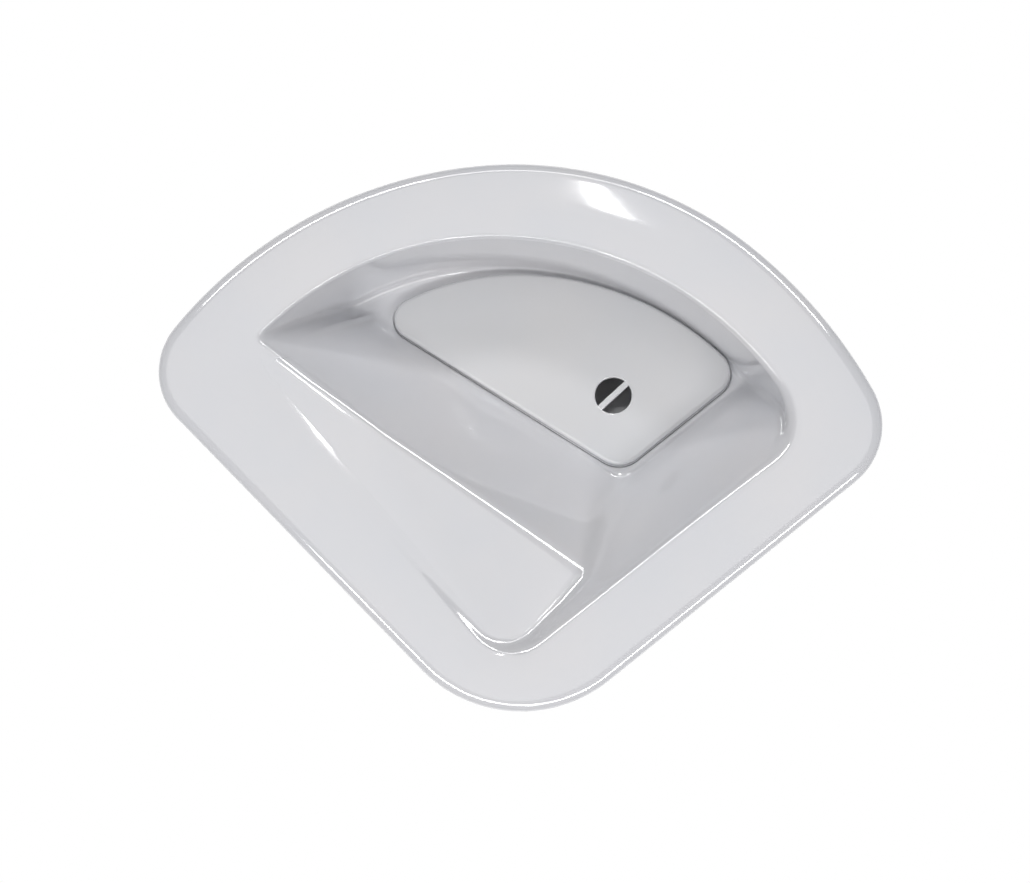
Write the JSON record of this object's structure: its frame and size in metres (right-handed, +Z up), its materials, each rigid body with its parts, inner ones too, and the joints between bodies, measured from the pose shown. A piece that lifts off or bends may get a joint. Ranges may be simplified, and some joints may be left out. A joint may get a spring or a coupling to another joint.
{
  "type": "washing machine dispenser cup",
  "caption": "Fan-shaped pour-in dispenser cup with a broad rim, two-slope ramp, drain sump and spout, and a snap-in sump cover with a slotted drain hole.",
  "frame": {"origin": "on the rim's downturned seating edge, at the middle of the straight front side", "axes": "+X along the straight front side towards the deep end, +Y from the front side to the curved back, +Z up out of the cup's mouth"},
  "size_m": [0.1782, 0.1769, 0.0687],
  "materials": {
    "cup_plastic": "glossy injection-moulded white plastic",
    "cover_plastic": "glossy injection-moulded white plastic"
  },
  "bodies": {
    "root": {"cup": "cup_plastic", "cover": "cover_plastic"}
  },
  "joints": []
}
